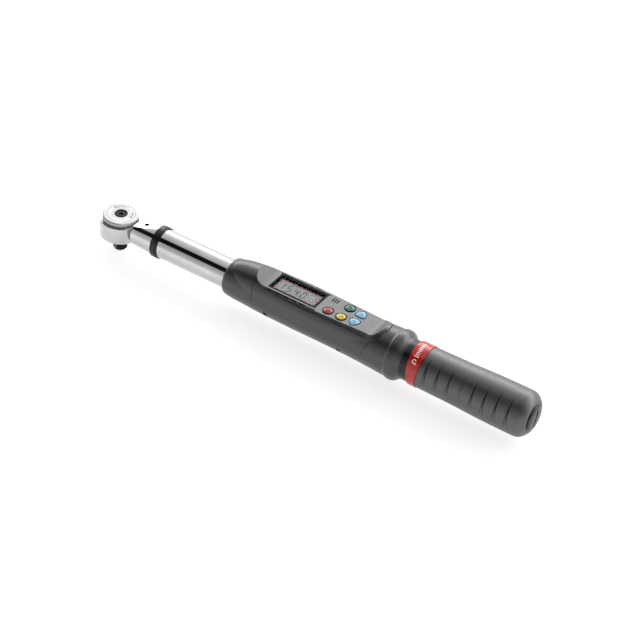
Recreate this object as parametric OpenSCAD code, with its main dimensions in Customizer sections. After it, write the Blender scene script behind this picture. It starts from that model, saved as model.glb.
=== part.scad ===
// Electronic torque wrench with a removable ratchet head on a 9 x 12 tang.
// +X runs from the drive axis to the end of the handle, and +Z is up through the display.
// The origin is the point where the drive axis crosses the tool's centre line.

/* [Ratchet head] */
// Radius of the round head
head_r = 17.25; // [17.1:0.05:17.5]
// Height of the head's top face above the centre line
head_top = 5.8; // [5.7:0.05:5.9]
// Depth of the head's lower face below the centre line
head_depth = 10; // [9.8:0.1:10.4]
// Radius of the knurled reversing disc
disc_r = 15; // [14.6:0.1:15.4]
// Height of the reversing disc's top face above the centre line
disc_top = 9.6; // [9.4:0.1:9.8]
// Number of teeth in the head's internal ring
ring_teeth = 72; // [72]
// Width across the flats of the drive square
square_w = 9.525; // [9.4:0.005:9.6]
// Depth of the drive square's end below the centre line
square_depth = 24.3; // [24:0.1:25]
// Angle of the drive square about its axis
square_angle = -28; // [-40:1:40]
// Angle through which the reversing disc turns
reverse_angle = 30; // [30]
// Angle through which a pawl swings between engaged and lifted
pawl_lift = 12; // [11:0.5:12.5]

/* [Neck and tube] */
// Radius of the chromed tube
tube_r = 12.5; // [12.4:0.05:12.6]
// Wall of the chromed tube
tube_wall = 2; // [1.8:0.1:2.2]
// Where the tapered neck begins
neck_front = 17.5; // [17.4:0.1:18]
// Where the black collar ring begins
ring_front = 38.5; // [38:0.1:39]
// Length of the black collar ring
ring_len = 6.2; // [5.8:0.1:6.6]
// Width of the head's tang, which fits the neck's socket
tang_w = 12; // [12]
// Height of the head's tang
tang_h = 9; // [9]
// Distance of the lock pin from the drive axis
lock_x = 26.2; // [26:0.1:27]

/* [Housing] */
// Height of the flat control panel above the centre line
panel_z = 15.3; // [15.2:0.05:15.4]
// Where the flat of the panel begins
panel_x0 = 149; // [148:0.5:150]
// Where the flat of the panel ends
panel_x1 = 243.5; // [242:0.5:245]
// Thickness of the moulded walls
wall = 2.2; // [2:0.1:2.4]
// Height of the upper shell's own axis above the centre line
bulge_z = 4; // [4]
// Spacing of the finger grooves under the housing
groove_pitch = 9.7; // [9.5:0.1:9.9]
// How far a key travels
key_travel = 0.8; // [0.5:0.1:0.9]

/* [Handle] */
// Where the red marker band begins
band_x0 = 283.4; // [283:0.1:284]
// Where the rubber grip begins at the side
grip_x0 = 293; // [292.5:0.1:293.5]
// Radius of the marker band
band_r = 17.95; // [17.8:0.05:18]
// Radius of the handle core under the grip
core_r = 15; // [14.8:0.1:15.2]
// Radius of the battery cap
cap_r = 12; // [11.9:0.1:12.2]
// Where the battery cap ends
cap_end = 390; // [389.8:0.1:390.5]
// Number of slits along each side of the grip
grip_slits = 8; // [6:1:8]

/* [Hidden] */
$fn = 72;
eps = 0.01;
fit = 0.05;                                  // running clearance on a radius
tube_ri = tube_r - tube_wall;
neck_back = ring_front;
ring_back = ring_front + ring_len;
gear_root = 13.4;                            // internal ring, at the foot of its teeth
gear_tip = 12.8;                             // internal ring, at the crest of its teeth
chamber_z0 = -6.5;                           // floor of the toothed chamber
chamber_z1 = 1.6;                            // top of the toothed ring
carrier_r = 12.5;                            // pawl carrier of the spindle
carrier_z0 = chamber_z0 + 0.05;
carrier_z1 = 1.4;
pocket_z = -4.4;                             // floor of the pawl pockets
stem_r = 5.25;
journal_r = 9;
pawl_side = 180;                             // direction midway between the two pawls
pivot_rho = 8.3;                             // pawl pivot, from the drive axis
pivot_ang = 25;                              // pawl pivot, either side of pawl_side
pin_r = 1.15;                                // pawl pivot pin
post_rho = 11.1;                             // pawl post, from the drive axis when engaged
post_ang = 26;                               // pawl post, ahead of its pivot
post_r = 0.7;
post_top = 4.2;
detent_rho = 10.8;
skirt_z = 1.65;                              // underside of the reversing disc's skirt
ball_z = -19;
ball_r = 1.6;
button_travel = 2.6;
ball_travel = 0.9;
rod_r = 1.9;
tang_end = 36;
lock_r = 1.9;
window_x = [151, 195];
window_y = 10.6;
lens_x = [152.4, 193.2];
lens_y = 8.5;
rail_y = [10.8, 12.2];
vent_y = [12.5, 13.5];
vent_x0 = 152.2;
vent_len = 6;
vent_pitch = 7.3;
key_r = 4.1;
key_hole = 4.9;
round_keys = [[205, -6.3], [217, -6.4], [217, 6.9]];
arrow_keys = [[228.4, 5.6, 1], [228.4, -5, -1]];
roof_z = panel_z - wall;
screw_at = [[153.5, 14.6], [222.9, 14.6], [153.5, -14.6], [222.9, -14.6]];
rib_x = [129, 166, 208, 246];
front_scoop_r = 17.7;                        // concave ends of the panel, seen from the side
rear_scoop_r = 12;
edge_z = -6;                                 // axis of the surface that rounds the panel's long edges
edge_places = [138, 144, 150, 166, 183, 203, 222, 243, 248, 252];
mould_arcs = [[89.3, 3.8, 51.1], [270.3, -2.4, 25.8]]; // [along, height, radius] of both end lines
board_z = 8.4;
slit_x0 = 300.1;                             // first slit of the grip
slit_pitch = 10.5;
slit_apex = 16.5;                            // height at which both cuts of a slit meet
slit_lean = 3.6;                             // lean of each cut away from the upright
slit_turn = 119;                             // from straight down to the middle of a slit
battery_r = 7.25;
battery_l = 50.4;
battery_x0 = 276.5;

// Outline of the round part of the housing: [distance along the tool, radius]
body_knots = [
  [110.6, 14.4], [111.8, 15.4], [115.5, 16.1], [122, 16.6], [131, 16.9], [143, 17.5],
  [158, 17.85], [176, 18.05], [198, 18.05], [218, 18.2], [236, 18.7], [248, 19.2],
  [257, 19.75], [262, 20.0], [264.6, 20.0], [266.4, 20.8], [268.6, 21.05], [271.2, 20.7],
  [273.6, 19.2], [275.4, 17.6], [277.4, 16.6]
];
// Outline of the upper shell's bulge about its own raised axis
bulge_knots = [
  [112, 11], [116, 12.8], [120.5, 14.1], [125, 14.95], [132, 15.8], [141, 16.6], [152, 17.3],
  [166, 17.95], [183, 18.35], [196, 18.15], [208, 17.95], [222, 17.6], [240, 17.2], [250, 16.9],
  [257, 16.1], [263, 15]
];
// Outline of the rubber grip
grip_knots = [
  [292.6, 17.35], [300, 17.5], [314, 17.7], [328, 18], [341, 18.55], [354, 18.9], [368, 19.05],
  [377, 19.05], [381.4, 18.7], [384.2, 17.2], [386.4, 15.2], [387.6, 13.6], [388, 12.3]
];

// ---------- shared shapes ----------

// A point on a smooth curve through the knots, in span i at t from 0 to 1
function curve_point(k, i, t) =
  let (a = k[max(i - 1, 0)], b = k[i], c = k[i + 1], d = k[min(i + 2, len(k) - 1)])
  0.5 * (2 * b + (c - a) * t + (2 * a - 5 * b + 4 * c - d) * t * t + (3 * b - a - 3 * c + d) * t * t * t);

// The curve drawn in straight steps
function curve(k, steps = 3) = [
  for (i = [0 : len(k) - 2]) for (s = [0 : steps - 1]) curve_point(k, i, s / steps),
  k[len(k) - 1]
];

function polar(r, a) = [r * cos(a), r * sin(a)];
function shrink(k, d) = [for (p = k) [p[0], p[1] - d]];
function centre_line(k) = concat([[k[0][0], 0]], k, [[k[len(k) - 1][0], 0]]);

// A solid turned about the tool's centre line from points [distance, radius]
module turned(points) {
  rotate([0, 90, 0]) rotate_extrude() polygon([for (p = points) [p[1], p[0]]]);
}

// A plain ring about the tool's centre line
module ring_x(x0, x1, r0, r1) {
  turned([[x0, r0], [x0, r1], [x1, r1], [x1, r0]]);
}

// A round rod about the tool's centre line
module rod_x(x0, x1, r) {
  translate([x0, 0, 0]) rotate([0, 90, 0]) cylinder(r = r, h = x1 - x0);
}

module block(x, y, z) {
  translate([x[0], y[0], z[0]]) cube([x[1] - x[0], y[1] - y[0], z[1] - z[0]]);
}

// A wire swept along points, with flat ends
module wire(path, r, sides = 8) {
  n = len(path);
  dirs = [for (i = [0 : n - 1]) let (d = path[min(i + 1, n - 1)] - path[max(i - 1, 0)]) d / norm(d)];
  ring = [for (i = [0 : n - 1]) let (
      up = abs(dirs[i][2]) > 0.95 ? [1, 0, 0] : [0, 0, 1],
      u = cross(dirs[i], up) / norm(cross(dirs[i], up)),
      v = cross(u, dirs[i]))
    for (j = [0 : sides - 1]) path[i] + r * (cos(360 * j / sides) * u + sin(360 * j / sides) * v)];
  polyhedron(points = ring, faces = concat(
    [[for (j = [sides - 1 : -1 : 0]) j]],
    [for (i = [0 : n - 2]) for (j = [0 : sides - 1]) let (k = (j + 1) % sides)
      [i * sides + j, i * sides + k, (i + 1) * sides + k, (i + 1) * sides + j]],
    [[for (j = [0 : sides - 1]) (n - 1) * sides + j]]));
}

// A compression spring standing on the XY plane
module coil(r, wire_r, h, turns) {
  steps = 10 * turns;
  wire([for (i = [0 : steps]) [r * cos(36 * i), r * sin(36 * i), wire_r + (h - 2 * wire_r) * i / steps]],
    wire_r, 6);
}

// ---------- ratchet head ----------

// Outline of the toothed chamber, drawn in by a clearance
function gear_outline(gap = 0) = let (pitch = 360 / ring_teeth) [
  for (i = [0 : ring_teeth - 1]) each [
    polar(gear_root - gap, i * pitch - 0.5), polar(gear_root - gap, i * pitch + 0.5),
    polar(gear_tip - gap, (i + 0.5) * pitch - 0.4), polar(gear_tip - gap, (i + 0.5) * pitch + 0.4)]
];

// The head and its rectangular tang are one forging, with the ratchet teeth broached inside
module ratchet_housing() color("gainsboro") difference() {
  union() {
    rotate_extrude() polygon([
      [0, -head_depth], [head_r - 1.5, -head_depth], [head_r - 0.7, 0.2 - head_depth],
      [head_r - 0.2, 0.7 - head_depth], [head_r, 1.5 - head_depth], [head_r, head_top - 0.5],
      [head_r - 0.5, head_top], [0, head_top]]);
    block([15, tang_end - 0.6], [-tang_w / 2, tang_w / 2], [-tang_h / 2, tang_h / 2]);
    block([tang_end - 0.7, tang_end], [0.6 - tang_w / 2, tang_w / 2 - 0.6], [0.6 - tang_h / 2, tang_h / 2 - 0.6]);
  }
  // chamber with the internal ring of teeth
  translate([0, 0, chamber_z0]) linear_extrude(chamber_z1 - chamber_z0) polygon(gear_outline());
  // plain bore for the skirt of the reversing disc
  translate([0, 0, chamber_z1 - eps]) cylinder(r = 13.6, h = 10);
  translate([0, 0, -head_depth - 1]) cylinder(r = journal_r + fit, h = 10);
  // recess for the circlip under the floor
  translate([0, 0, -head_depth - 1]) cylinder(r = 11.4, h = 2.5);
  // blind bore in the tang for the lock pin and its spring
  translate([lock_x, 0, -3.9]) cylinder(r = lock_r + fit, h = 10);
}

// Outline of a pawl in its engaged place, in the frame of its pivot's direction.
// Its teeth keep clear of the ring at every step of the swing, so one flank is backed off.
module pawl_outline() {
  intersection() {
    union() {
      translate([pivot_rho, 0]) circle(r = 2);
      polygon([
        [pivot_rho - 1.6, -1.2], [pivot_rho + 1.75, -1], polar(12.2, 12), polar(12.6, 24),
        polar(13.6, 28), polar(13.6, 43), polar(11.3, 42), polar(9.4, 30), polar(7.6, 13)]);
    }
    intersection_for (swing = [0, 1, 2, 3.5, 5, 7])
      translate([pivot_rho, 0]) rotate(-swing) translate([-pivot_rho, 0]) polygon(gear_outline(0.07));
  }
}

// A pawl with its guide post, swung inwards by lift
module pawl(lift) {
  translate([pivot_rho, 0, 0]) rotate(lift) translate([-pivot_rho, 0, 0]) {
    difference() {
      translate([0, 0, pocket_z + 0.1]) linear_extrude(carrier_z1 - pocket_z - 0.3) pawl_outline();
      translate([pivot_rho, 0, pocket_z - 1]) cylinder(r = pin_r + fit, h = 10);
    }
    translate([post_rho * cos(post_ang), post_rho * sin(post_ang), 0]) cylinder(r = post_r, h = post_top);
  }
}

// Puts a shape at the left pawl for side 1 and mirrors it to the right pawl for side -1
module at_pawl(side) {
  rotate(pawl_side) mirror([0, side < 0 ? 1 : 0, 0]) rotate(pivot_ang) children();
}

module pawl_left() color("slategray") at_pawl(1) pawl(0);
module pawl_right() color("slategray") at_pawl(-1) pawl(pawl_lift);

module pawl_pins() color("silver") for (side = [-1, 1])
  at_pawl(side) translate([pivot_rho, 0, pocket_z - 1.4]) cylinder(r = pin_r, h = carrier_z1 - pocket_z + 1.3);

// A leaf spring stands in each pocket and pushes its pawl into the teeth
module pawl_springs() color("darkgray") for (side = [-1, 1])
  at_pawl(side) translate([0, 0, pocket_z + 0.1]) linear_extrude(carrier_z1 - pocket_z - 0.5) polygon([
    [6.38, 1.6], [6.6, 1.6], [6.76, 4.4], [6.05, 7.2], [5.85, 7.1], [6.54, 4.4]]);

// Pocket in which a pawl swings
module pawl_pocket() {
  translate([0, 0, pocket_z]) linear_extrude(10) union() {
    translate([pivot_rho, 0]) circle(r = 2.4);
    polygon([
      [pivot_rho - 2, -1.3], [10.6, -1.4], polar(12.7, 8), polar(14.4, 8), polar(14.4, 53),
      polar(9.6, 53), [5.4, 7.7], [6.4, 4.4], [6.25, 1.3]]);
  }
}

// The spindle is one black-finished forging: drive square, journal, pawl carrier and stem
module drive_spindle() color("dimgray") difference() {
  union() {
    rotate(square_angle) intersection() {
      translate([-square_w / 2, -square_w / 2, -square_depth]) cube([square_w, square_w, 14]);
      rotate_extrude() polygon([[0, -square_depth], [5, -square_depth], [6.2, 1.6 - square_depth],
        [6.2, -10], [0, -10]]);
    }
    translate([0, 0, -12.4]) cylinder(r = 7.2, h = 3);
    translate([0, 0, -9.9]) cylinder(r = 8.3, h = 5);
    translate([0, 0, -8.7]) cylinder(r = journal_r, h = 4);
    translate([0, 0, carrier_z0]) cylinder(r = carrier_r, h = carrier_z1 - carrier_z0);
    cylinder(r = stem_r, h = 8.6);
  }
  for (side = [-1, 1]) at_pawl(side) {
    pawl_pocket();
    translate([pivot_rho, 0, pocket_z - 1.5]) cylinder(r = pin_r, h = 10);
  }
  // bores for the release rod, and for its button and spring
  translate([0, 0, ball_z - button_travel - 1.3]) cylinder(r = rod_r + fit, h = 40);
  translate([0, 0, 0.8]) cylinder(r = 4.05, h = 10);
  // cross bore for the ball
  rotate(square_angle - 90) translate([0, 0, ball_z]) rotate([0, 90, 0]) cylinder(r = ball_r + 0.05, h = 10);
  // shallow groove round the square at the ball
  rotate(square_angle) for (a = [0, 90, 180]) rotate(a) translate([square_w / 2, 0, ball_z])
    rotate([90, 0, 0]) cylinder(r = 0.8, h = 20, center = true);
  // groove for the snap ring that holds the reversing disc
  translate([0, 0, 4]) rotate_extrude() translate([stem_r + 0.05, 0]) circle(r = 0.5, $fn = 24);
  // blind bore for the disc's detent ball and spring
  rotate(pawl_side + 180) translate([detent_rho, 0, -2.6]) cylinder(r = 1.05, h = 10);
}

module spindle_circlip() color("darkgray") difference() {
  translate([0, 0, -9.8]) cylinder(r = 10.6, h = 1);
  translate([0, 0, -11]) cylinder(r = 8.35, h = 4);
  rotate(pawl_side) translate([8, -2.5, -11]) cube([5, 5, 4]);
}

// Where a pawl's post is in the disc's frame when the disc has turned by the fraction t
function post_xy(lift) = let (p = polar(post_rho, post_ang) - [pivot_rho, 0])
  [pivot_rho + p[0] * cos(lift) - p[1] * sin(lift), p[0] * sin(lift) + p[1] * cos(lift)];
function left_path(t) = let (p = post_xy(pawl_lift * t))
  [norm(p), pivot_ang + atan2(p[1], p[0]) - reverse_angle * t];
function right_path(t) = let (p = post_xy(pawl_lift * (1 - t)))
  [norm(p), -pivot_ang - atan2(p[1], p[0]) - reverse_angle * t];

// Cam pocket that draws a post inwards and leaves it free to click over the teeth
module cam_pocket(path) {
  outer = [for (p = path) polar(p[0] + post_r + 0.15, p[1])];
  inner = [for (i = [len(path) - 1 : -1 : 0]) polar(path[i][0] - 2.2, path[i][1])];
  translate([0, 0, skirt_z - 1]) linear_extrude(post_top + 1.2 - skirt_z) union() {
    polygon(concat(outer, inner));
    for (p = [path[0], path[len(path) - 1]]) translate(polar(p[0], p[1])) circle(r = post_r + 0.15);
  }
}

// The knurled disc turns with the spindle, and turning it by itself changes the ratchet's direction
module reversing_disc() color("silver") difference() {
  union() {
    rotate_extrude() polygon([
      [0, head_top + 0.1], [disc_r - 0.5, head_top + 0.1], [disc_r, head_top + 0.5],
      [disc_r, disc_top - 0.9], [disc_r - 0.8, disc_top - 0.1], [disc_r - 1.6, disc_top], [0, disc_top]]);
    translate([0, 0, skirt_z]) cylinder(r = 13.5, h = 5);
  }
  translate([0, 0, -1]) cylinder(r = stem_r + 0.1, h = 20);
  translate([0, 0, 4]) rotate_extrude() translate([stem_r + 0.05, 0]) circle(r = 0.6, $fn = 24);
  translate([0, 0, disc_top - 0.4]) cylinder(r1 = stem_r + 0.1, r2 = stem_r + 0.7, h = 0.6);
  rotate(pawl_side) {
    cam_pocket([for (i = [0 : 5]) left_path(i / 5)]);
    cam_pocket([for (i = [0 : 5]) right_path(i / 5)]);
  }
  // detent seats at both ends, joined by the groove in which the ball runs
  rotate(pawl_side + 180) {
    for (a = [0, -reverse_angle]) rotate(a) translate([detent_rho, 0, skirt_z - 1]) cylinder(r = 1.25, h = 2.1);
    rotate(-reverse_angle) translate([0, 0, 1.55]) rotate_extrude(angle = reverse_angle)
      translate([detent_rho, 0]) circle(r = 1.1, $fn = 24);
  }
}

module disc_snap_ring() color("silver") translate([0, 0, 4]) rotate_extrude()
  translate([stem_r + 0.05, 0]) circle(r = 0.45, $fn = 24);

module disc_detent_ball() color("silver")
  rotate(pawl_side + 180) translate([detent_rho, 0, 1.55]) sphere(r = 1);

module disc_detent_spring() color("darkgray")
  rotate(pawl_side + 180) translate([detent_rho, 0, -2.5]) coil(0.75, 0.15, 3, 4);

// Pressing the button lowers the thin end of its tapered rod to the ball, which can then draw in
module release_button() color("dimgray") difference() {
  rotate_extrude() polygon([
    [0, ball_z - 1.1], [1.3, ball_z - 1.1], [rod_r, ball_z - 0.6], [rod_r, ball_z - 0.25],
    [rod_r - ball_travel - 0.2, ball_z + button_travel + 0.35], [rod_r - ball_travel - 0.2, -14.8],
    [rod_r, -14], [rod_r, 6.6], [3.95, 6.6], [3.95, 8.7], [3.5, 9.1], [0, 9.1]]);
  translate([0, 0, 9.9]) sphere(r = 2.2);
}

module button_spring() color("darkgray") translate([0, 0, 0.85]) coil(3.2, 0.3, 5.7, 5);

module drive_ball() color("silver") rotate(square_angle - 90)
  translate([rod_r + ball_r + 0.03, 0, ball_z]) sphere(r = ball_r);

// The lock pin rises through the neck and holds the tang in its socket
module lock_pin() color("dimgray") translate([lock_x, 0, 0]) rotate_extrude() polygon([
  [0, 1.2], [lock_r, 1.2], [lock_r, 6.3], [lock_r - 0.4, 6.9], [lock_r - 1.1, 7.2], [0, 7.3]]);

module lock_spring() color("darkgray") translate([lock_x, 0, -3.85]) coil(1.4, 0.2, 5, 4);

// ---------- neck, tube and torque sensor ----------

module neck() color("gainsboro") difference() {
  union() {
    turned([[neck_front, 0], [neck_front, 11], [neck_front + 0.4, 11.4], [neck_back - 2.6, 12.5],
      [neck_back, 12.5], [neck_back, 0]]);
    rod_x(neck_back - 1, 52, tube_ri - 0.05);
  }
  // sloping flats above and below
  for (side = [0, 1]) mirror([0, 0, side]) rotate([90, 0, 0]) linear_extrude(60, center = true)
    polygon([[10, 7.4], [37.4, 12.5], [37.4, 20], [10, 20]]);
  // socket for the 9 x 12 tang
  block([10, tang_end + 0.6], [-tang_w / 2 - 0.08, tang_w / 2 + 0.08], [-tang_h / 2 - 0.08, tang_h / 2 + 0.08]);
  translate([lock_x, 0, 0]) cylinder(r = lock_r + 0.15, h = 20);
  rod_x(40.4, 60, 7.05);
}

module neck_ring() color("#1c1c1e") turned([
  [ring_front, 12.55], [ring_front, 13.3], [ring_front + 0.3, 13.6], [ring_front + 4.2, 13.6],
  [ring_front + 4.5, 13.3], [ring_front + 4.5, 12.95], [ring_front + 5.3, 12.95], [ring_front + 5.3, 13.3],
  [ring_front + 5.6, 13.5], [ring_back, 13.3], [ring_back, 12.55]]);

// Chromed tube, milled open under the display to make room for the electronics
module main_tube() color("gainsboro") difference() {
  ring_x(neck_back, 379, tube_ri, tube_r);
  block([148, 247], [-20, 20], [6.2, 20]);
  translate([143, 0, 0]) rotate([90, 0, 0]) cylinder(r = 2, h = 40, center = true);
}

// Bending beam that carries the load from the neck to the handle, waisted at the gauges
module sensor_beam() color("lightsteelblue") difference() {
  union() {
    rod_x(40.5, 56, 7);
    block([54, 140], [-4.2, 4.2], [-6.5, 6.5]);
    intersection() {
      rod_x(137, 149.5, tube_ri - 0.05);
      block([130, 150], [-20, 20], [-20, 6.6]);
    }
  }
  for (side = [-1, 1]) hull() for (x = [84, 100])
    translate([x, side * 5.7, 0]) cylinder(r = 3, h = 30, center = true, $fn = 32);
  translate([143, 0, 0]) rotate([90, 0, 0]) cylinder(r = 2, h = 40, center = true);
}

module strain_gauges() color("goldenrod") for (side = [-1, 1]) for (x = [86.5, 93])
  translate([x, side * 2.74 - 0.04, -3]) cube([4.5, 0.08, 6]);

module beam_pin() color("silver") translate([143, 0, 0])
  rotate([90, 0, 0]) cylinder(r = 2, h = 2 * tube_r - 0.6, center = true);

module sensor_lead() color("firebrick") wire([
  [96, 0, 7.2], [100, 0, 7.9], [106, 0, 8.5], [114, 0, 8.7], [122, 0.4, 8.6], [130, 0.8, 8.5],
  [138, 0.6, 8.4], [144, 0.2, 8.1], [149, 0, 7.6], [153, 0, 7.4]], 0.6);

// ---------- electronics housing ----------

// The part of the housing above its parting line bulges about a raised axis
module housing_form(inset = 0) {
  turned(centre_line(shrink(curve(body_knots), inset)));
  translate([0, 0, bulge_z]) turned(centre_line(shrink(curve(bulge_knots), inset)));
}

// Height of the panel and its scoops at a place along the tool
function panel_height(x) = panel_z
  + (x < panel_x0 ? front_scoop_r - sqrt(max(0, front_scoop_r ^ 2 - (x - panel_x0) ^ 2)) : 0)
  + (x > panel_x1 ? rear_scoop_r - sqrt(max(0, rear_scoop_r ^ 2 - (x - panel_x1) ^ 2)) : 0);

// Radius, about the axis at edge_z, of a surface that takes a margin off the panel's long edges
function edge_radius(x) = let (
    height = min(panel_height(x), 20.5),
    half_width = sqrt(max(0, lookup(x, bulge_knots) ^ 2 - (height - bulge_z) ^ 2)),
    margin = lookup(x, [[136, 0], [150, 1.2], [200, 1.3], [243, 2], [253, 0]]))
  norm([max(0, half_width - margin), height - edge_z]);

// The whole form, with the crease round the panel softened
module rounded_form() {
  intersection() {
    housing_form();
    translate([0, 0, edge_z]) turned(concat([[100, 0], [100, 27.2], [134, 27.2]],
      [for (x = edge_places) [x, edge_radius(x)]], [[257, 27.2], [290, 27.2], [290, 0]]));
  }
}

// Space above the panel, with a concave scoop at each end
module panel_space() {
  rotate([90, 0, 0]) linear_extrude(60, center = true) {
    translate([panel_x0, panel_z]) square([panel_x1 - panel_x0, 20]);
    translate([panel_x0, panel_z + front_scoop_r]) circle(r = front_scoop_r, $fn = 96);
    translate([panel_x1, panel_z + rear_scoop_r]) circle(r = rear_scoop_r);
  }
}

// Hollow of both shells, less the ribs round the tube and the screw bosses
module hollow() {
  difference() {
    intersection() {
      union() {
        turned([[127, 0], [127, 14.5], [143, 15.2], [176, 15.8], [218, 15.95], [248, 16.9], [257, 17.2], [257, 0]]);
        translate([0, 0, bulge_z]) turned([[127, 0], [127, 13.5], [141, 14.8], [166, 15.85], [183, 16.1],
          [222, 15.3], [250, 14.5], [257, 13.6], [257, 0]]);
      }
      block([120, 260], [-20, 20], [-20, roof_z]);
    }
    for (x = rib_x) block([x - 1, x + 1], [-20, 20], [-20, board_z]);
    for (p = screw_at) translate([p[0], p[1], -20]) cylinder(r = 2.8, h = 40);
  }
}

// Fine line where the soft overmoulding stops at both ends of the panel
module mould_lines() {
  difference() {
    for (arc = mould_arcs) translate([arc[0], 0, arc[1]]) rotate([90, 0, 0]) difference() {
      cylinder(r = arc[2] + 0.2, h = 60, center = true, $fn = 144);
      cylinder(r = arc[2] - 0.2, h = 61, center = true, $fn = 144);
    }
    housing_form(0.4);
    block([100, 280], [-30, 30], [-40, 0.5]);
  }
}

// Plan of a key: round, or a rounded triangle that points to side
module key_plan(r, side = 0) {
  if (side == 0) circle(r = r);
  else intersection() {
    bowed_side(r, 0, side);
    bowed_side(r, 120, side);
    bowed_side(r, 240, side);
    circle(r = r * 1.02);
  }
}

// Wide disc whose edge is one side of the rounded triangle
module bowed_side(r, turn, side) {
  rotate(turn) translate([0, side * 1.1 * r]) circle(r = 1.9 * r);
}

module at_keys() {
  for (k = round_keys) translate([k[0], k[1], 0]) children(0);
  for (k = arrow_keys) translate([k[0], k[1], 0]) mirror([0, k[2] < 0 ? 1 : 0, 0]) children(1);
}

module housing_upper() color("#4a4b4d") difference() {
  union() {
    difference() {
      intersection() {
        rounded_form();
        block([100, 290], [-30, 30], [0, 30]);
      }
      panel_space();
    }
    // raised rails beside the display
    for (side = [-1, 1]) translate([0, side * (rail_y[0] + rail_y[1]) / 2, 0])
      block([150, 196], [(rail_y[0] - rail_y[1]) / 2, (rail_y[1] - rail_y[0]) / 2], [panel_z - 1, panel_z + 0.5]);
  }
  hollow();
  rod_x(100, 290, tube_r + 0.03);
  // display opening
  block(window_x, [-window_y, window_y], [roof_z - 3, panel_z + 5]);
  // key openings, each with a wider recess round the key
  at_keys() {
    translate([0, 0, 10]) cylinder(r = key_r + 0.12, h = 10);
    translate([0, 0, 10]) linear_extrude(10) key_plan(key_r + 0.45, 1);
  }
  at_keys() {
    translate([0, 0, panel_z - 1]) cylinder(r = key_hole, h = 5);
    translate([0, 0, panel_z - 1]) linear_extrude(5) key_plan(key_hole + 0.35, 1);
  }
  // sound slots over the buzzer
  for (x = [200.9, 203.1, 205.3]) block([x - 0.5, x + 0.5], [5.2, 10.1], [roof_z - 1, 20]);
  // blind vents along both sides of the display
  for (side = [-1, 1]) for (i = [0 : 4]) translate([vent_x0 + i * vent_pitch, side * (vent_y[0] + vent_y[1]) / 2, 0])
    block([0, vent_len], [-0.5, 0.5], [panel_z - 1.4, 20]);
  for (p = screw_at) translate([p[0], p[1], -1]) cylinder(r = 1.2, h = 8);
  mould_lines();
}

// Ring cutter whose V edge bites deepest at the bottom and runs out at both sides
module finger_groove(x, r, depth, half_w, ahead) {
  translate([x, 0, 0]) rotate([ahead, 0, 0]) translate([0, 0, 2 * depth]) turned([
    [0, r + depth], [-half_w * 0.6, r + 1.3 * depth], [-half_w * 1.4, r + 3 * depth + 1],
    [half_w * 1.4, r + 3 * depth + 1], [half_w * 0.6, r + 1.3 * depth]]);
}

module housing_lower() color("#3c3d3f") difference() {
  intersection() {
    turned(centre_line(curve(body_knots)));
    block([100, 290], [-30, 30], [-30, 0]);
  }
  hollow();
  rod_x(100, 290, tube_r + 0.03);
  for (i = [0 : 8]) finger_groove(160 + i * groove_pitch, 17.95 + 0.03 * i, 0.9, 1.6, 0);
  for (p = screw_at) translate([p[0], p[1], 0]) {
    translate([0, 0, -30]) cylinder(r = 2.3, h = 24);
    translate([0, 0, -10]) cylinder(r = 1.35, h = 20);
  }
}

module housing_screws() color("dimgray") for (p = screw_at) translate([p[0], p[1], 0]) difference() {
  union() {
    translate([0, 0, -7.8]) cylinder(r = 2.15, h = 1.8);
    translate([0, 0, -6.1]) cylinder(r = 1.2, h = 12.6);
  }
  translate([0, 0, -8]) cylinder(r = 1.1, h = 1.2, $fn = 6);
}

module display_bezel() color("#1a1a1c") difference() {
  block([window_x[0] + 0.1, window_x[1] - 0.1], [0.1 - window_y, window_y - 0.1], [13.3, panel_z + 0.25]);
  block([lens_x[0] + 0.8, lens_x[1] - 0.8], [0.8 - lens_y, lens_y - 0.8], [10, 20]);
  block(lens_x, [-lens_y, lens_y], [14.1, 20]);
}

module display_lens() color("lightcyan", 0.35)
  block([lens_x[0] + 0.05, lens_x[1] - 0.05], [0.05 - lens_y, lens_y - 0.05], [14.1, panel_z + 0.05]);

module lcd_module() color("#bfc4c0") {
  block([153.4, 192.2], [-7.6, 7.6], [11.6, 13.6]);
  block([152, 194], [-9.2, 9.2], [board_z + 1.2, 11.6]);
}

module circuit_board() color("darkgreen") block([150, 243], [-10.5, 10.5], [board_z, board_z + 1.2]);

module board_chips() color("#222224") {
  block([164, 174], [-5, 5], [board_z - 1.4, board_z]);
  block([212, 218], [-3, 3], [board_z - 1.2, board_z]);
  block([236.5, 241.5], [-2.5, 2.5], [board_z + 1.2, board_z + 2.4]);
}

module buzzer() color("#222224") translate([203.1, 7.6, 0]) difference() {
  translate([0, 0, board_z + 1.2]) cylinder(r = 4.4, h = 2.9);
  translate([0, 0, board_z + 3.4]) cylinder(r = 0.8, h = 2);
}

module key_positions() {
  for (k = concat(round_keys, arrow_keys)) translate([k[0], k[1], 0]) children();
}

module dome_switches() color("silver") key_positions() translate([0, 0, board_z + 1.2])
  rotate_extrude() polygon([[0, 0], [3, 0], [2.4, 0.35], [1.4, 0.6], [0, 0.7]]);

module key_mat() color("gray") difference() {
  union() {
    block([198, 235], [-11.6, 11.6], [board_z + 1.2, 11.1]);
    key_positions() translate([0, 0, 11]) cylinder(r = 2.4, h = 1.1 - key_travel);
  }
  key_positions() translate([0, 0, 9]) cylinder(r = 3.4, h = 1.5);
  translate([203.1, 7.6, 9]) cylinder(r = 4.6, h = 5);
}

// A key is a domed cap with a flange that keeps it under the panel
module key(side = 0) {
  translate([0, 0, 12.2]) linear_extrude(0.8) key_plan(side == 0 ? key_r + 0.8 : key_r + 1.2, side);
  translate([0, 0, 12.9]) linear_extrude(2.6) key_plan(side == 0 ? key_r : key_r + 0.3, side);
  intersection() {
    translate([0, 0, 15.4]) linear_extrude(1.2) key_plan(side == 0 ? key_r : key_r + 0.3, side);
    translate([0, 0, 4.5]) sphere(r = 11.8, $fn = 96);
  }
}

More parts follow.
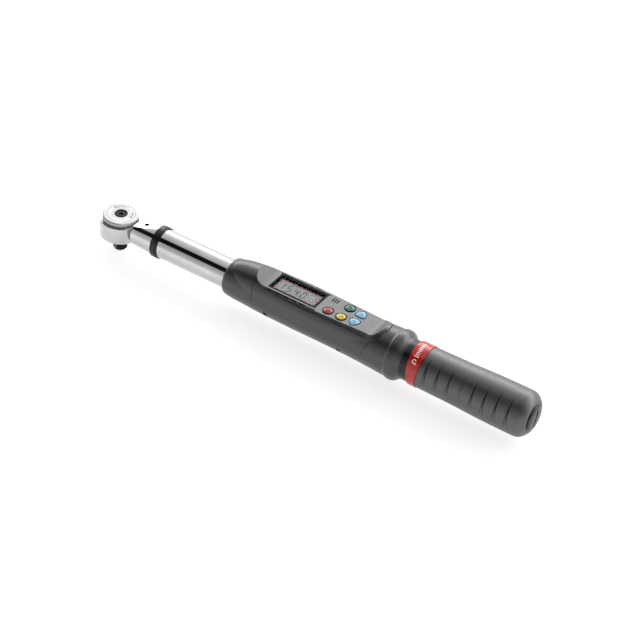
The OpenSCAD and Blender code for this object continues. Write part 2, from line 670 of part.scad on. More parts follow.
module key_power() color("indianred") translate([205, -6.3, 0]) key();
module key_units() color("gold") translate([217, -6.4, 0]) key();
module key_memory() color("seagreen") translate([217, 6.9, 0]) key();
module key_up() color("lightblue") translate([228.4, 5.6, 0]) key(1);
module key_down() color("lightblue") translate([228.4, -5, 0]) mirror([0, 1, 0]) key(1);

// ---------- handle ----------

// Space of the marker band, which is wider on top than below
module band_space(gap = 0, behind = 0) {
  rotate([90, 0, 0]) linear_extrude(60, center = true) polygon([
    [band_x0 - 0.6 - gap, 20], [grip_x0 + 1.7 + gap + behind, 20],
    [grip_x0 - 1.9 + gap + behind, -20], [band_x0 + 3 - gap, -20]]);
}

module handle_core() color("#2b2c2e") difference() {
  union() {
    difference() {
      ring_x(277.45, 290, tube_r + 0.03, 16.6);
      band_space(0.05, 10);
    }
    turned([[277.45, 12], [277.45, core_r], [383.5, core_r], [383.5, 12.3], [388.2, 12.3], [388.2, 11.05],
      [379.1, 11.05], [379.1, 12]]);
  }
  rod_x(270, 379.1, tube_r + 0.03);
}

module marker_band() color("#c42a22") intersection() {
  turned([[282, core_r + 0.05], [282, band_r], [297, band_r], [297, core_r + 0.05]]);
  band_space();
}

module grip_sleeve() color("#2a2b2d") difference() {
  turned(concat([[291, core_r + 0.05], [291, 17.35]], curve(grip_knots), [[388, 12.35], [383.6, 12.35],
    [383.6, core_r + 0.05]]));
  band_space(0.05);
  for (side = [-1, 1]) for (i = [0 : grip_slits - 1])
    grip_slit(slit_x0 + i * slit_pitch, lookup(slit_x0 + i * slit_pitch, grip_knots), side,
      side < 0 && i == 3 ? 0.35 : 0.85);
}

// Two V cuts that spread from one point, so each slit opens like a Y turned over.
// The cuts run out at both ends, because their ring is set off the grip's own axis.
module grip_slit(x, r, side, depth) {
  deepest = 4.3 * depth;
  for (lean = [-slit_lean, slit_lean]) translate([x, 0, slit_apex]) rotate([0, lean, 0])
    translate([0, 0, -slit_apex]) rotate([side * slit_turn, 0, 0]) translate([0, 0, deepest]) turned([
      [0, r + deepest - depth], [-0.55, r + deepest + 0.2], [-1.2, r + 12], [1.2, r + 12],
      [0.55, r + deepest + 0.2]]);
}

// Insulating sleeve that holds the cells in line inside the tube
module battery_sleeve() color("ivory") turned([
  [266, 0], [266, tube_ri - 0.05], [378.8, tube_ri - 0.05], [378.8, battery_r + 0.2], [267.5, battery_r + 0.2],
  [267.5, 0]]);

module batteries() color("steelblue") for (i = [0, 1]) translate([battery_x0 + i * (battery_l + 0.05), 0, 0]) {
  rod_x(1.2, battery_l, battery_r);
  rod_x(0, 1.2, 2.7);
}

module contact_spring() color("darkgray") wire([for (i = [0 : 36])
  [267.8 + 8.2 * i / 36, (5.6 - 0.07 * i) * cos(36 * i), (5.6 - 0.07 * i) * sin(36 * i)]], 0.3, 6);

module battery_lead() color("firebrick") wire([
  [265.5, 3, 4.5], [262, 3, 4.6], [257, 3, 4.9], [252, 3, 5.4], [248, 3, 6.1], [245.4, 3, 7.2],
  [243.8, 3, 8.8]], 0.6);

module cap_contact() color("goldenrod") turned([
  [377.75, 0], [377.75, 6], [378.5, 6], [378.5, 1.9], [382, 1.9], [382, 0]]);

module cap_seal() color("black") translate([385.6, 0, 0]) rotate([0, 90, 0]) rotate_extrude()
  translate([10.5, 0]) circle(r = 0.5, $fn = 24);

module end_cap() color("#1f2022") difference() {
  turned([
    [379.4, 0], [379.4, 10.6], [379.8, 10.95], [385, 10.95], [385, 9.95], [386.2, 9.95], [386.2, 10.95],
    [388.4, 10.95], [389, 10.5], [389.6, 8.5], [cap_end - 0.1, 5], [cap_end, 0]]);
  rod_x(370, 382.5, 2);
  // coin slot
  translate([cap_end, 0, 0]) rotate([-14, 0, 0]) rotate([0, 90, 0]) translate([0, 0, -1.6])
    intersection() {
      cube([15, 2, 8], center = true);
      translate([0, 0, 4]) cylinder(r = 7.5, h = 8, center = true);
    }
}

ratchet_housing();
drive_spindle();
spindle_circlip();
pawl_left();
pawl_right();
pawl_pins();
pawl_springs();
reversing_disc();
disc_snap_ring();
disc_detent_ball();
disc_detent_spring();
release_button();
button_spring();
drive_ball();
lock_pin();
lock_spring();
neck();
neck_ring();
main_tube();
sensor_beam();
strain_gauges();
beam_pin();
sensor_lead();
housing_upper();
housing_lower();
housing_screws();
display_bezel();
display_lens();
lcd_module();
circuit_board();
board_chips();
buzzer();
dome_switches();
key_mat();
key_power();
key_units();
key_memory();
key_up();
key_down();
handle_core();
marker_band();
grip_sleeve();
battery_sleeve();
batteries();
contact_spring();
battery_lead();
cap_contact();
cap_seal();
end_cap();
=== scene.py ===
"""An electronic torque wrench, made in the order in which it is put together, from ratchet to end cap."""

import math

import bmesh
import bpy
from mathutils import Matrix, Quaternion, Vector


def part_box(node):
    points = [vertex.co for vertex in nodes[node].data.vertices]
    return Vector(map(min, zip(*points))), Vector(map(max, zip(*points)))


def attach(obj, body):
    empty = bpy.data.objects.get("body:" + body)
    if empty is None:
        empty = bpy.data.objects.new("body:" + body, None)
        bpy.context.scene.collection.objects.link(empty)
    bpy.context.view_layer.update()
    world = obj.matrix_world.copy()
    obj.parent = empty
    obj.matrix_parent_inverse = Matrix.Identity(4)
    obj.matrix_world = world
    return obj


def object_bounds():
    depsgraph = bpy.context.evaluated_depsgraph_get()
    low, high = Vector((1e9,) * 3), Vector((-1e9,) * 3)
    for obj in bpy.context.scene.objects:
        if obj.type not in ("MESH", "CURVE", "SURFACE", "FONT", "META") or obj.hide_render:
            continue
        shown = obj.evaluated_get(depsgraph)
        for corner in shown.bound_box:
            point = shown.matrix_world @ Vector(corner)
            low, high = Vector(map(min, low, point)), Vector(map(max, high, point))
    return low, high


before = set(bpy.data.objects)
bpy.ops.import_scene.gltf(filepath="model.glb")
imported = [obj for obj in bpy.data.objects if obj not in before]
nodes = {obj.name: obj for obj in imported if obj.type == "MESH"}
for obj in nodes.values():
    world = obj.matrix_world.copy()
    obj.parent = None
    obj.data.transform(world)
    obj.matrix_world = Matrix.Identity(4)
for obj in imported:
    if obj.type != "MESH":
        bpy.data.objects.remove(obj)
cad_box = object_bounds()

# ---------- camera ----------
# A long lens looks down on the display from the near side of the handle, a little tilted,
# so that the tool runs from the upper left to the lower right.
scene = bpy.context.scene
scene.view_settings.view_transform = "Standard"
CAMERA_AZIMUTH = math.radians(29.831)
CAMERA_ELEVATION = math.radians(38.701)
CAMERA_ROLL = math.radians(5.572)
CAMERA_DISTANCE = 1.93541
LENS = 139.2
FILM_WIDTH = 36
SHIFT_X = -0.00875
SHIFT_Y = -0.0007
FAR_END = 20
aim = Vector((0.2, 0, 0))
to_camera = Vector((
    math.sin(CAMERA_AZIMUTH) * math.cos(CAMERA_ELEVATION),
    -math.cos(CAMERA_AZIMUTH) * math.cos(CAMERA_ELEVATION),
    math.sin(CAMERA_ELEVATION),
))
camera = bpy.data.objects.new("camera", bpy.data.cameras.new("camera"))
camera.data.lens = LENS
camera.data.sensor_width = FILM_WIDTH
camera.data.shift_x = SHIFT_X
camera.data.shift_y = SHIFT_Y
camera.data.clip_end = FAR_END
camera.location = aim + to_camera * CAMERA_DISTANCE
camera.rotation_mode = "QUATERNION"
camera.rotation_quaternion = to_camera.to_track_quat("Z", "Y") @ Quaternion((0, 0, 1), CAMERA_ROLL)
scene.collection.objects.link(camera)
scene.camera = camera

# ---------- paper and studio light ----------
# The tool lies on a sweep of matt white paper. A long soft light runs above and behind it,
# a black flag hangs on the near side, and a white room fills the rest.
MM = 0.001


def linear(code):
    """The linear colour of an sRGB hex value."""
    parts = [int(code[i : i + 2], 16) / 255 for i in (1, 3, 5)]
    return [p / 12.92 if p <= 0.04045 else ((p + 0.055) / 1.055) ** 2.4 for p in parts] + [1]


def add(tree, kind, inputs=None, **settings):
    """A new node in a tree, with its settings, and its inputs set or linked."""
    node = tree.nodes.new(kind)
    for name, value in settings.items():
        setattr(node, name, value)
    for name, value in (inputs or {}).items():
        if isinstance(value, bpy.types.NodeSocket):
            tree.links.new(value, node.inputs[name])
        else:
            node.inputs[name].default_value = value
    return node


def finish_of(name, code, metallic, roughness, **sockets):
    """A new material, its tree and its shader, with the values that are the same all over."""
    material = bpy.data.materials.new(name)
    material.use_nodes = True
    shader = material.node_tree.nodes["Principled BSDF"]
    shader.inputs["Base Color"].default_value = linear(code)
    shader.inputs["Metallic"].default_value = metallic
    shader.inputs["Roughness"].default_value = roughness
    for socket, value in sockets.items():
        shader.inputs[socket.replace("_", " ")].default_value = value
    return material, material.node_tree, shader


# Matt white paper, lit through from below as on a light table, so that only a faint shadow shows
white_paper, tree, shader = finish_of(
    "matt_white_paper", "#a4a4a3", 0, 0.95, Specular_IOR_Level=0.05, Emission_Strength=0.78
)
shader.inputs["Emission Color"].default_value = linear("#ffffff")
PAPER_HALF = 3
mesh = bpy.data.meshes.new("paper")
bm = bmesh.new()
bmesh.ops.create_grid(
    bm, x_segments=1, y_segments=1, size=PAPER_HALF, matrix=Matrix.Translation((0, 0, cad_box[0][2]))
)
bm.to_mesh(mesh)
bm.free()
paper = bpy.data.objects.new("paper", mesh)
paper.data.materials.append(white_paper)
scene.collection.objects.link(paper)

# Brightness round the tool's long axis: [degrees up from the near horizon and over, brightness]
ROOM = [
    (0, 0.9), (8, 0.75), (27, 0.58), (37, 0.5), (40, 0.01), (70, 0.01), (74, 0.6), (88, 0.72),
    (107, 0.96), (126, 1.35), (131, 4.4), (155, 4.4), (161, 1.4), (168, 1.3), (180, 1.1),
]
BRIGHTEST = 4.4
studio = bpy.data.worlds.new("studio")
studio.use_nodes = True
scene.world = studio
tree = studio.node_tree
tree.nodes.clear()
direction = add(tree, "ShaderNodeTexCoord").outputs["Generated"]
split = add(tree, "ShaderNodeSeparateXYZ", {"Vector": direction})
near = add(tree, "ShaderNodeMath", {0: split.outputs["Y"], 1: -1}, operation="MULTIPLY")
angle = add(tree, "ShaderNodeMath", {0: split.outputs["Z"], 1: near.outputs[0]}, operation="ARCTAN2")
turn = add(tree, "ShaderNodeMath", {0: angle.outputs[0], 1: math.pi}, operation="DIVIDE")
ramp = add(tree, "ShaderNodeValToRGB", {0: turn.outputs[0]})
stops = ramp.color_ramp.elements
while len(stops) > 1:
    stops.remove(stops[0])
for i, (degrees, brightness) in enumerate(ROOM):
    stop = stops[0] if i == 0 else stops.new(degrees / 180)
    stop.position = degrees / 180
    stop.color = (brightness / BRIGHTEST,) * 3 + (1,)
light = add(tree, "ShaderNodeBackground", {"Color": ramp.outputs["Color"], "Strength": BRIGHTEST})
add(tree, "ShaderNodeOutputWorld", {"Surface": light.outputs[0]})

# ---------- ratchet housing ----------
# A drop-forged alloy steel head, machined, polished and plated with bright chrome.
# It holds the toothed ring inside, and its tail slides into the neck.


def uneven(tree, size_mm, low, high, detail=2.0):
    """A value that drifts between low and high over patches of about that size."""
    place = add(tree, "ShaderNodeTexCoord").outputs["Object"]
    noise = add(tree, "ShaderNodeTexNoise", {"Vector": place, "Scale": 1 / (size_mm * MM), "Detail": detail})
    spread = {"Value": noise.outputs[0], "From Min": 0.3, "From Max": 0.7, "To Min": low, "To Max": high}
    return add(tree, "ShaderNodeMapRange", spread).outputs[0]


def relief(tree, shader, height, depth_mm, edge_mm):
    """Raises the surface by a pattern that is depth_mm high, and rounds sharp edges by edge_mm."""
    edge = add(tree, "ShaderNodeBevel", {"Radius": edge_mm * MM}, samples=4)
    raised = {"Height": height, "Distance": depth_mm * MM, "Normal": edge.outputs[0]}
    bump = add(tree, "ShaderNodeBump", raised)
    tree.links.new(bump.outputs[0], shader.inputs["Normal"])


def tint(tree, shader, factor, dark, light):
    """Colours the surface between two hex values by a pattern."""
    ramp = add(tree, "ShaderNodeValToRGB", {0: factor})
    ramp.color_ramp.elements[0].color = linear(dark)
    ramp.color_ramp.elements[1].color = linear(light)
    tree.links.new(ramp.outputs["Color"], shader.inputs["Base Color"])


def dress(material, *names):
    """Gives CAD nodes their finish."""
    for name in names:
        nodes[name].data.materials.clear()
        nodes[name].data.materials.append(material)


# Bright chrome plate on polished steel: a cold mirror with faint wipe marks in its gloss
bright_chrome, tree, shader = finish_of("bright_chrome_plate", "#c3c3c4", 1, 0.06)
tree.links.new(uneven(tree, 9, 0.035, 0.1), shader.inputs["Roughness"])
tint(tree, shader, uneven(tree, 14, 0, 1), "#bcbcbd", "#c9c9c9")
relief(tree, shader, uneven(tree, 5, 0, 1, 1), 0.0015, 0.25)
dress(bright_chrome, "ratchet_housing")

# ---------- drive spindle, pawls and springs ----------
# The spindle, its square and both pawls are turned and milled from hardened steel and blackened.
# Springs and circlips are bright spring steel, and each pawl swings on a ground pin.
# Black oxide on steel: a dark, slightly oily metal that still shows broad highlights
black_oxide, tree, shader = finish_of("black_oxide_steel", "#1f1f20", 1, 0.32)
tree.links.new(uneven(tree, 2.5, 0.22, 0.4), shader.inputs["Roughness"])
tint(tree, shader, uneven(tree, 3, 0, 1), "#191a1a", "#262627")
relief(tree, shader, uneven(tree, 0.5, 0, 1), 0.006, 0.2)
dress(black_oxide, "drive_spindle", "pawl_left", "pawl_right")

# Bright drawn spring steel: grey metal with fine draw marks along the wire
drawn_steel, tree, shader = finish_of("drawn_spring_steel", "#8f9195", 1, 0.28)
tree.links.new(uneven(tree, 0.8, 0.2, 0.38), shader.inputs["Roughness"])
tint(tree, shader, uneven(tree, 1.5, 0, 1), "#85878b", "#a2a4a8")
relief(tree, shader, uneven(tree, 0.3, 0, 1), 0.004, 0.1)
dress(
    drawn_steel, "spindle_circlip", "pawl_pins", "pawl_springs", "disc_snap_ring", "disc_detent_ball",
    "disc_detent_spring", "button_spring", "drive_ball", "lock_spring", "contact_spring",
)

# ---------- reversing disc ----------
# A steel disc with a knurled rim, turned to choose the direction. Its face is faced on a lathe
# and satin chromed, and it carries two etched arrows, one for each direction.


def radius_of(tree):
    """Distance from the drive axis, in millimetres."""
    place = add(tree, "ShaderNodeTexCoord").outputs["Object"]
    flat = add(tree, "ShaderNodeVectorMath", {0: place, 1: (1 / MM, 1 / MM, 0)}, operation="MULTIPLY")
    return add(tree, "ShaderNodeVectorMath", {0: flat.outputs[0]}, operation="LENGTH").outputs["Value"]


# Satin chrome over a faced surface: fine rings round the axis, half a millimetre apart so that they show
FACING_PITCH = 0.5
satin_chrome, tree, shader = finish_of("satin_chrome_plate", "#a2a2a2", 1, 0.44)
tree.links.new(uneven(tree, 6, 0.42, 0.48), shader.inputs["Roughness"])
rings = add(tree, "ShaderNodeMath", {0: radius_of(tree), 1: 2 * math.pi / FACING_PITCH}, operation="MULTIPLY")
wave = add(tree, "ShaderNodeMath", {0: rings.outputs[0]}, operation="SINE")
tint(tree, shader, uneven(tree, 10, 0, 1), "#9c9c9c", "#a9a9a9")
relief(tree, shader, wave.outputs[0], 0.002, 0.15)
dress(satin_chrome, "reversing_disc")

SHARP = math.radians(35)


def settle(name, bm, material, body):
    """Makes a finished piece of a mesh drawn in millimetres, and lets it ride on its body."""
    bmesh.ops.remove_doubles(bm, verts=bm.verts, dist=0.001)
    bmesh.ops.recalc_face_normals(bm, faces=bm.faces)
    bmesh.ops.scale(bm, vec=(MM, MM, MM), verts=bm.verts)
    for face in bm.faces:
        face.smooth = True
    for edge in bm.edges:
        edge.smooth = len(edge.link_faces) == 2 and edge.calc_face_angle(0) < SHARP
    mesh = bpy.data.meshes.new(name)
    bm.to_mesh(mesh)
    bm.free()
    mesh.materials.append(material)
    made = bpy.data.objects.new(name, mesh)
    scene.collection.objects.link(made)
    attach(made, body)


# The rim's straight knurl: ridges with a sharp crest, pressed in side by side, that run out on the chamfer
knurled, tree, shader = finish_of("knurled_satin_chrome", "#d0d0d0", 1, 0.5)
tint(tree, shader, uneven(tree, 0.7, 0, 1), "#c4c4c4", "#dcdcdc")
tree.links.new(uneven(tree, 1.5, 0.44, 0.55), shader.inputs["Roughness"])
RIM_R = 15
RIDGES = 132
RIM_LOW = 6.3
CHAMFER_Z = 8.7
RIM_HIGH = 9.46
CHAMFER_RUN = 0.76
RIDGE_R = 0.34
RIDGE_FLATNESS = 0.45
middle = Matrix.Translation((0, RIM_R, (RIM_LOW + RIM_HIGH) / 2))
bm = bmesh.new()
bmesh.ops.create_cone(
    bm, cap_ends=True, segments=3, radius1=RIDGE_R, radius2=RIDGE_R, depth=RIM_HIGH - RIM_LOW,
    matrix=middle @ Matrix.Diagonal((1, RIDGE_FLATNESS, 1, 1)),
)
bmesh.ops.bisect_plane(
    bm, geom=bm.verts[:] + bm.edges[:] + bm.faces[:], plane_co=(0, 0, CHAMFER_Z), plane_no=(0, 0, 1)
)
top = [v for v in bm.verts if v.co.z > CHAMFER_Z + 0.1]
bmesh.ops.translate(bm, vec=(0, -CHAMFER_RUN, 0), verts=top)
bmesh.ops.spin(
    bm, geom=bm.verts[:] + bm.edges[:] + bm.faces[:], cent=(0, 0, 0), axis=(0, 0, 1),
    angle=math.tau * (1 - 1 / RIDGES), steps=RIDGES - 1, use_duplicate=True,
)
settle("disc_knurl", bm, knurled, "reversing_disc")

FACE_Z = 9.6


def bar(bm, start, end, width, cuts=1):
    """A flat straight stroke between two points, in the XY plane."""
    start, end = Vector(start), Vector(end)
    along = end - start
    place = Matrix.Translation(((start + end) / 2).to_3d())
    turn = Matrix.Rotation(math.atan2(along.y, along.x), 4, "Z")
    size = Matrix.Diagonal((along.length, width, 1, 1))
    made = bmesh.ops.create_grid(bm, x_segments=cuts, y_segments=1, size=0.5, matrix=place @ turn @ size)
    return made["verts"]


def arc(bm, centre, radius, start, end, width, steps=12):
    """A flat curved stroke round a centre, from one angle to another, in degrees."""
    middle = Vector(centre).to_3d()
    ends = []
    for r in (radius - width / 2, radius + width / 2):
        ends.append(bm.verts.new(middle + Matrix.Rotation(math.radians(start), 3, "Z") @ Vector((r, 0, 0))))
    edge = bm.edges.new(ends)
    bmesh.ops.spin(
        bm, geom=ends + [edge], cent=middle, axis=(0, 0, 1), angle=math.radians(end - start), steps=steps
    )


def head(bm, tip, towards, size):
    """A flat arrow head with its point at tip."""
    point = Vector(towards).normalized()
    turn = Matrix.Rotation(math.atan2(point.y, point.x) - math.pi / 2, 4, "Z")
    place = Matrix.Translation((Vector(tip) - point * size / 2).to_3d())
    bmesh.ops.create_circle(bm, cap_ends=True, segments=3, radius=size * 0.66, matrix=place @ turn)


def thicken(bm, depth):
    """Gives flat marks a thickness downwards."""
    made = bmesh.ops.extrude_face_region(bm, geom=bm.faces[:])
    lowered = [v for v in made["geom"] if isinstance(v, bmesh.types.BMVert)]
    bmesh.ops.translate(bm, vec=(0, 0, -depth), verts=lowered)


# Etched marks: the plate is matt and a shade greyer there
etched, tree, shader = finish_of("etched_chrome", "#505152", 1, 0.4)
tint(tree, shader, uneven(tree, 0.6, 0, 1), "#48494a", "#5a5b5c")
tree.links.new(uneven(tree, 0.6, 0.32, 0.5), shader.inputs["Roughness"])
ETCH_R = 9.3
ETCH_WIDTH = 0.8
ETCH_HEAD = 1.9
ETCH_REACH = 1.7
ETCH_DEPTH = 0.05
ARROW_ANGLES = ((98, 152), (44, 6))
bm = bmesh.new()
for start, end in ARROW_ANGLES:
    arc(bm, (0, 0), ETCH_R, start, end, ETCH_WIDTH)
    side = 1 if end > start else -1
    radial = Matrix.Rotation(math.radians(end), 2) @ Vector((1, 0))
    tangent = Vector((-radial.y, radial.x)) * side
    head(bm, radial * ETCH_R + tangent * ETCH_REACH, tangent, ETCH_HEAD)
bmesh.ops.translate(bm, vec=(0, 0, FACE_Z + 0.03), verts=bm.verts)
thicken(bm, ETCH_DEPTH)
settle("disc_arrows", bm, etched, "reversing_disc")
# Two fine lines turned into the face
TURNED_WIDTH = 0.3
bm = bmesh.new()
for radius in (7.2, 11.7):
    arc(bm, (0, 0), radius, 0, 360, TURNED_WIDTH, 96)
bmesh.ops.translate(bm, vec=(0, 0, FACE_Z + 0.025), verts=bm.verts)
thicken(bm, ETCH_DEPTH)
settle("disc_turned_lines", bm, etched, "reversing_disc")

# ---------- release button ----------
# A blackened steel plunger through the spindle. Pressing its dished top frees the ball
# that holds a socket on the square.
dress(black_oxide, "release_button")

# ---------- neck, tube and torque sensor ----------
# The neck is turned steel with two flats and takes the head's tail, held by a spring pin.
# A black ring covers the joint to the chromed tube, in which a gauged steel beam bends.
dress(bright_chrome, "neck", "main_tube")
dress(black_oxide, "lock_pin")

# Moulded nylon, black: satin, with a fine grain from the tool
black_nylon, tree, shader = finish_of("moulded_black_nylon", "#111112", 0, 0.3, Specular_IOR_Level=0.4)
tree.links.new(uneven(tree, 1.2, 0.26, 0.34), shader.inputs["Roughness"])
tint(tree, shader, uneven(tree, 4, 0, 1), "#0e0e0f", "#151516")
relief(tree, shader, uneven(tree, 0.5, 0, 1), 0.006, 0.2)
dress(black_nylon, "neck_ring")

# Ground alloy steel: even grey with fine grinding lines across
GRINDING_PITCH = 0.7854  # coarser than real grinding lines, so that they show
WAVES = 20 / math.tau  # bands of a wave texture in each unit of its scale
ground_steel, tree, shader = finish_of("ground_alloy_steel", "#9c9ea2", 1, 0.3)
place = add(tree, "ShaderNodeTexCoord").outputs["Object"]
fineness = 1 / (GRINDING_PITCH * MM * WAVES)
lines = add(tree, "ShaderNodeTexWave", {"Vector": place, "Scale": fineness, "Distortion": 1.5})
tree.links.new(uneven(tree, 2, 0.24, 0.4), shader.inputs["Roughness"])
tint(tree, shader, uneven(tree, 3, 0, 1), "#909296", "#a6a8ac")
relief(tree, shader, lines.outputs[1], 0.003, 0.15)
dress(ground_steel, "sensor_beam", "beam_pin")

# Etched gauge foil on an amber carrier: warm metal with a fine grid
GRID_PITCH = 0.3491
gauge_foil, tree, shader = finish_of("gauge_foil", "#b98a3c", 1, 0.35)
place = add(tree, "ShaderNodeTexCoord").outputs["Object"]
fineness = 1 / (GRID_PITCH * MM * WAVES)
grid = add(tree, "ShaderNodeTexWave", {"Vector": place, "Scale": fineness}, bands_direction="Z")
tint(tree, shader, grid.outputs[1], "#8a5d1e", "#d3a854")
dress(gauge_foil, "strain_gauges")

# Soft wire insulation: dull red, slightly mottled
wire_skin, tree, shader = finish_of("soft_wire_insulation", "#a02424", 0, 0.5)
tint(tree, shader, uneven(tree, 2, 0, 1), "#8d1e1e", "#b02c2a")
tree.links.new(uneven(tree, 1, 0.42, 0.58), shader.inputs["Roughness"])
dress(wire_skin, "sensor_lead", "battery_lead")

# ---------- housing ----------
# Two glass-filled nylon shells, moulded in a spark-eroded tool and screwed together from below.
# Glass-filled nylon, graphite grey: a satin skin with a fine, even grain
GRAIN = 0.55  # the real grain is 0.15 mm, drawn coarser so that it shows
graphite_nylon, tree, shader = finish_of("spark_textured_nylon", "#252526", 0, 0.32, Specular_IOR_Level=0.85)
tree.links.new(uneven(tree, 5, 0.29, 0.35), shader.inputs["Roughness"])
tint(tree, shader, uneven(tree, 1.1, 0, 1), "#212122", "#292929")
relief(tree, shader, uneven(tree, GRAIN, 0, 1), 0.008, 0.3)
dress(graphite_nylon, "housing_upper", "housing_lower")
dress(black_oxide, "housing_screws")

# ---------- circuit board, keys' switches and mat ----------
# A glass-epoxy board with its chips, buzzer and dome switches, under a moulded silicone mat.
# Green solder mask: glossy, with the copper tracks showing through
TRACK_CELL = 2
solder_mask, tree, shader = finish_of("green_solder_mask", "#14502b", 0, 0.25)
place = add(tree, "ShaderNodeTexCoord").outputs["Object"]
cells = {"Vector": place, "Scale": 1 / (TRACK_CELL * MM)}
tracks = add(tree, "ShaderNodeTexVoronoi", cells, feature="DISTANCE_TO_EDGE")
tint(tree, shader, tracks.outputs[0], "#2c7a48", "#104224")
relief(tree, shader, tracks.outputs[0], 0.02, 0.1)
dress(solder_mask, "circuit_board")

# Black epoxy of the chips, with a fine sandy surface
chip_epoxy, tree, shader = finish_of("black_chip_epoxy", "#1f1f21", 0, 0.55)
tint(tree, shader, uneven(tree, 0.6, 0, 1), "#1a1a1c", "#28282a")
relief(tree, shader, uneven(tree, 0.25, 0, 1), 0.01, 0.1)
dress(chip_epoxy, "board_chips", "buzzer")
dress(drawn_steel, "dome_switches")

# Moulded silicone: dull, slightly milky grey
silicone, tree, shader = finish_of("moulded_silicone", "#77787a", 0, 0.6, Subsurface_Weight=0.1)
tint(tree, shader, uneven(tree, 2, 0, 1), "#6f7072", "#808183")
relief(tree, shader, uneven(tree, 0.4, 0, 1), 0.008, 0.2)
dress(silicone, "key_mat")

# ---------- display ----------
# A liquid crystal module in a black frame, under a clear polycarbonate lens.
# The glass has a printed border, and its digits are dark liquid crystal segments.
# The frame is left matt, so that the window keeps a dark edge
matt_frame, tree, shader = finish_of("matt_black_frame", "#0d0d0e", 0, 0.6, Specular_IOR_Level=0.12)
tint(tree, shader, uneven(tree, 1, 0, 1), "#0a0a0b", "#121213")
relief(tree, shader, uneven(tree, 0.4, 0, 1), 0.008, 0.15)
dress(matt_frame, "display_bezel")

# Reflective liquid crystal glass: grey-green, with the faint mottle of the foil behind it
crystal_glass, tree, shader = finish_of("liquid_crystal_glass", "#919893", 0, 0.3)
tint(tree, shader, uneven(tree, 1.4, 0, 1), "#8b938d", "#979e99")
tree.links.new(uneven(tree, 3, 0.25, 0.36), shader.inputs["Roughness"])
dress(crystal_glass, "lcd_module")

GLASS_Z = 13.6
GLASS_X = (153.4, 192.2)
GLASS_Y = 7.6


def frame_mark(bm, x, y, width_x, width_y):
    """A flat rectangular frame: outer span in X, half span in Y, and its two widths."""
    made = bmesh.ops.create_grid(
        bm, x_segments=1, y_segments=1, size=0.5,
        matrix=Matrix.Translation((sum(x) / 2, 0, 0)) @ Matrix.Diagonal((x[1] - x[0], 2 * y, 1, 1)),
    )
    face = made["verts"][0].link_faces[0]
    bmesh.ops.inset_region(bm, faces=[face], thickness=width_x, use_boundary=True, use_even_offset=True)
    stretch = (y - width_y) / (y - width_x)
    bmesh.ops.scale(bm, vec=(1, stretch, 1), verts=face.verts[:])
    bmesh.ops.delete(bm, geom=[face], context="FACES_ONLY")


# Screen-printed border inks, semi-gloss under the lens
rose_ink, tree, shader = finish_of("pale_rose_ink", "#a8868c", 0, 0.35)
tint(tree, shader, uneven(tree, 2.5, 0, 1), "#a07c83", "#af9094")
maroon_ink, tree, shader = finish_of("maroon_ink", "#4a1420", 0, 0.35)
tint(tree, shader, uneven(tree, 1.5, 0, 1), "#3f101b", "#551a28")
EDGE_LINE = 0.65
BORDER_X = 2.3
BORDER_Y = 2.0
bm = bmesh.new()
frame_mark(bm, GLASS_X, GLASS_Y, EDGE_LINE, EDGE_LINE)
bmesh.ops.translate(bm, vec=(0, 0, GLASS_Z + 0.04), verts=bm.verts)
thicken(bm, 0.06)
settle("lcd_edge_line", bm, maroon_ink, "wrench")
bm = bmesh.new()
inside = (GLASS_X[0] + EDGE_LINE, GLASS_X[1] - EDGE_LINE)
frame_mark(bm, inside, GLASS_Y - EDGE_LINE, BORDER_X, BORDER_Y)
bmesh.ops.translate(bm, vec=(0, 0, GLASS_Z + 0.03), verts=bm.verts)
thicken(bm, 0.05)
settle("lcd_border", bm, rose_ink, "wrench")

# Dark liquid crystal, a shade green
dark_crystal, tree, shader = finish_of("dark_liquid_crystal", "#141815", 0, 0.4)
tint(tree, shader, uneven(tree, 0.8, 0, 1), "#101311", "#1a1f1b")
STROKE = 0.95
CORNER = STROKE * 0.42
GAP = 0.12
DIGIT_W = 3.1
DIGIT_H = 7.5
DIGIT_LEAN = 0.03
DIGIT_PITCH = 6.65
FIRST_DIGIT = (156.9, -4.2)
# Ends of each segment in shares of the digit's width and height
SEGMENTS = {
    "a": ((0, 1), (1, 1)), "b": ((1, 1), (1, 0.5)), "c": ((1, 0.5), (1, 0)), "d": ((0, 0), (1, 0)),
    "e": ((0, 0.5), (0, 0)), "f": ((0, 1), (0, 0.5)), "g": ((0, 0.5), (1, 0.5)),
}
DIGITS = {"1": "bc", "5": "afgcd", "4": "fgbc", "0": "abcdef"}
bm = bmesh.new()
for column, digit in enumerate("1540"):
    for name in DIGITS[digit]:
        (x0, y0), (x1, y1) = SEGMENTS[name]
        start = Vector((x0 * DIGIT_W, y0 * DIGIT_H))
        end = Vector((x1 * DIGIT_W, y1 * DIGIT_H))
        gap = (end - start).normalized() * GAP
        segment = bar(bm, start + gap, end - gap, STROKE)
        digit_x = FIRST_DIGIT[0] + column * DIGIT_PITCH
        bmesh.ops.translate(bm, vec=(digit_x, FIRST_DIGIT[1], GLASS_Z + 0.03), verts=segment)
bmesh.ops.bevel(
    bm, geom=bm.verts[:], offset=CORNER, affect="VERTICES", segments=1, profile=0.5, material=-1
)
for vert in bm.verts:
    vert.co.x += vert.co.y * DIGIT_LEAN
thicken(bm, 0.05)
settle("lcd_digits", bm, dark_crystal, "wrench")

# Clear polycarbonate with a low-reflection coating: it darkens the glass a little and adds faint, sharp
# reflections. It bends too little light to show, so it is see-through and doesn't refract.
clear_lens = finish_of("clear_polycarbonate", "#0b0c0c", 0, 0.02, Alpha=0.12, IOR=1.2)[0]
dress(clear_lens, "display_lens")

# ---------- keys ----------
# Five domed key caps, moulded in coloured polycarbonate and glossy. Each is printed with a mark
# in a deep shade of its own colour.
DOME_R = 11.8
DOME_Z = 4.5
INK_HEIGHT = 0.025
INK_DEPTH = 0.08
SKIRT_FADE = 0.04


